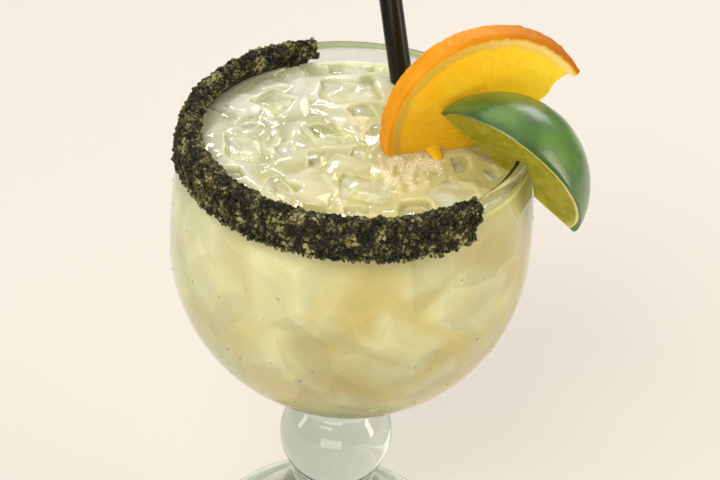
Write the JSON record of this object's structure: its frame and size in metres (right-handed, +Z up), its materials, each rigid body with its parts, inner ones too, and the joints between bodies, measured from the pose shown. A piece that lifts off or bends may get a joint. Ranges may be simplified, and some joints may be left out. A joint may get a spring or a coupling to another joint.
{
  "type": "margarita cocktail",
  "caption": "Cloudy iced margarita filling a thick footed goblet, with a black salt rim, a straw, a half wheel of orange and a lime wedge slit over the rim.",
  "frame": {"origin": "middle of the foot's flat underside", "axes": "+Z up through the stem and the bowl; the picture looks along +Y from above, with +X to the right, where the garnish sits"},
  "size_m": [0.1287, 0.1246, 0.2803],
  "materials": {
    "glass": "clear soda-lime glass, faintly grey-green, fire polished",
    "drink": "cloudy pale lemon yellow drink",
    "ice": "wet clear ice with melted edges",
    "salt": "coarse black salt crystals",
    "straw": "glossy black plastic",
    "orange": "wet orange flesh with pale pith and pored peel",
    "lime": "waxy green peel, pale pith and yellow-green flesh"
  },
  "bodies": {
    "root": {"glass": "glass", "drink": "drink", "ice_back": "ice", "ice_back_left": "ice", "ice_left": "ice", "ice_middle": "ice", "ice_front_left": "ice", "ice_front": "ice", "ice_front_right": "ice", "ice_back_right": "ice", "salt_rim": "salt", "straw": "straw", "orange_slice": "orange", "lime_wedge": "lime"}
  },
  "joints": []
}
